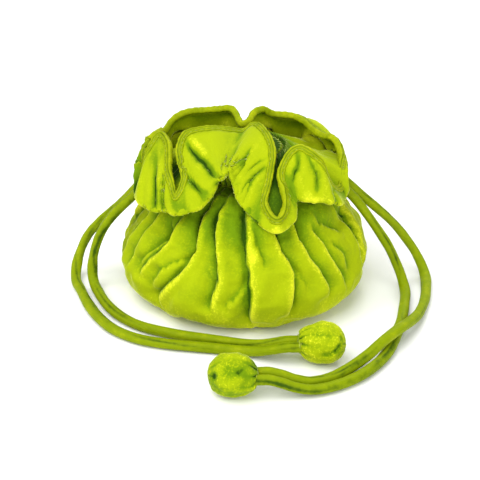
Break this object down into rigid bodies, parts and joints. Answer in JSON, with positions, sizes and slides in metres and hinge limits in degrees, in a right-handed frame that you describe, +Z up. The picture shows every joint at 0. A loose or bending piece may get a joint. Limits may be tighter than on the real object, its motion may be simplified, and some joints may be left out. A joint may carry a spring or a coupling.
{
  "type": "drawstring gift sack",
  "caption": "Round gathered velvet gift sack with a frilled bound collar, drawn shut by paired tubular cords that end in padded balls.",
  "frame": {"origin": "middle of the flat base, on the surface that the sack stands on", "axes": "+Z up through the mouth, +X to the right cord, -Y to the front, where the balls lie"},
  "size_m": [0.1663, 0.1564, 0.0752],
  "materials": {
    "velvet": "short pile velvet",
    "facing_velvet": "smooth pile, worn side in",
    "lining_satin": "satin",
    "binding_satin": "satin strip",
    "cord_satin": "turned satin tube",
    "ball_velvet": "gathered velvet",
    "wadding": "polyester wadding",
    "board": "buckram board",
    "thread": "sewing thread"
  },
  "bodies": {
    "sack": {"outer_shell": "velvet", "shell_lining": "lining_satin", "base_board": "board", "drawstring_casing": "velvet", "lower_stitches": "thread", "upper_stitches": "thread", "left_buttonhole": "thread", "right_buttonhole": "thread", "left_cord_loop": "cord_satin", "right_cord_loop": "cord_satin", "collar_velvet": "velvet", "collar_facing": "facing_velvet", "collar_binding": "binding_satin"},
    "left_cord": {"left_cord_outer": "cord_satin", "left_cord_inner": "cord_satin"},
    "left_ball": {"left_ball_cover": "ball_velvet", "left_ball_filling": "wadding", "left_ball_tie": "thread"},
    "right_cord": {"right_cord_outer": "cord_satin", "right_cord_inner": "cord_satin"},
    "right_ball": {"right_ball_cover": "ball_velvet", "right_ball_filling": "wadding", "right_ball_tie": "thread"}
  },
  "joints": [
    {"name": "left_pull", "type": "slide", "parent": "sack", "child": "left_cord", "axis": [-1, 0, 0], "range_m": [0, 0.004]},
    {"name": "right_pull", "type": "slide", "parent": "sack", "child": "right_cord", "axis": [1, 0, 0], "range_m": [0, 0.004]},
    {"name": "left_ball_swing", "type": "hinge", "parent": "left_cord", "child": "left_ball", "pos_m": [0.0204, -0.07, 0.008], "axis": [0, 0, 1], "range_deg": [-20, 20]},
    {"name": "right_ball_swing", "type": "hinge", "parent": "right_cord", "child": "right_ball", "pos_m": [0.0066, -0.0934, 0.008], "axis": [0, 0, 1], "range_deg": [-20, 20]}
  ]
}
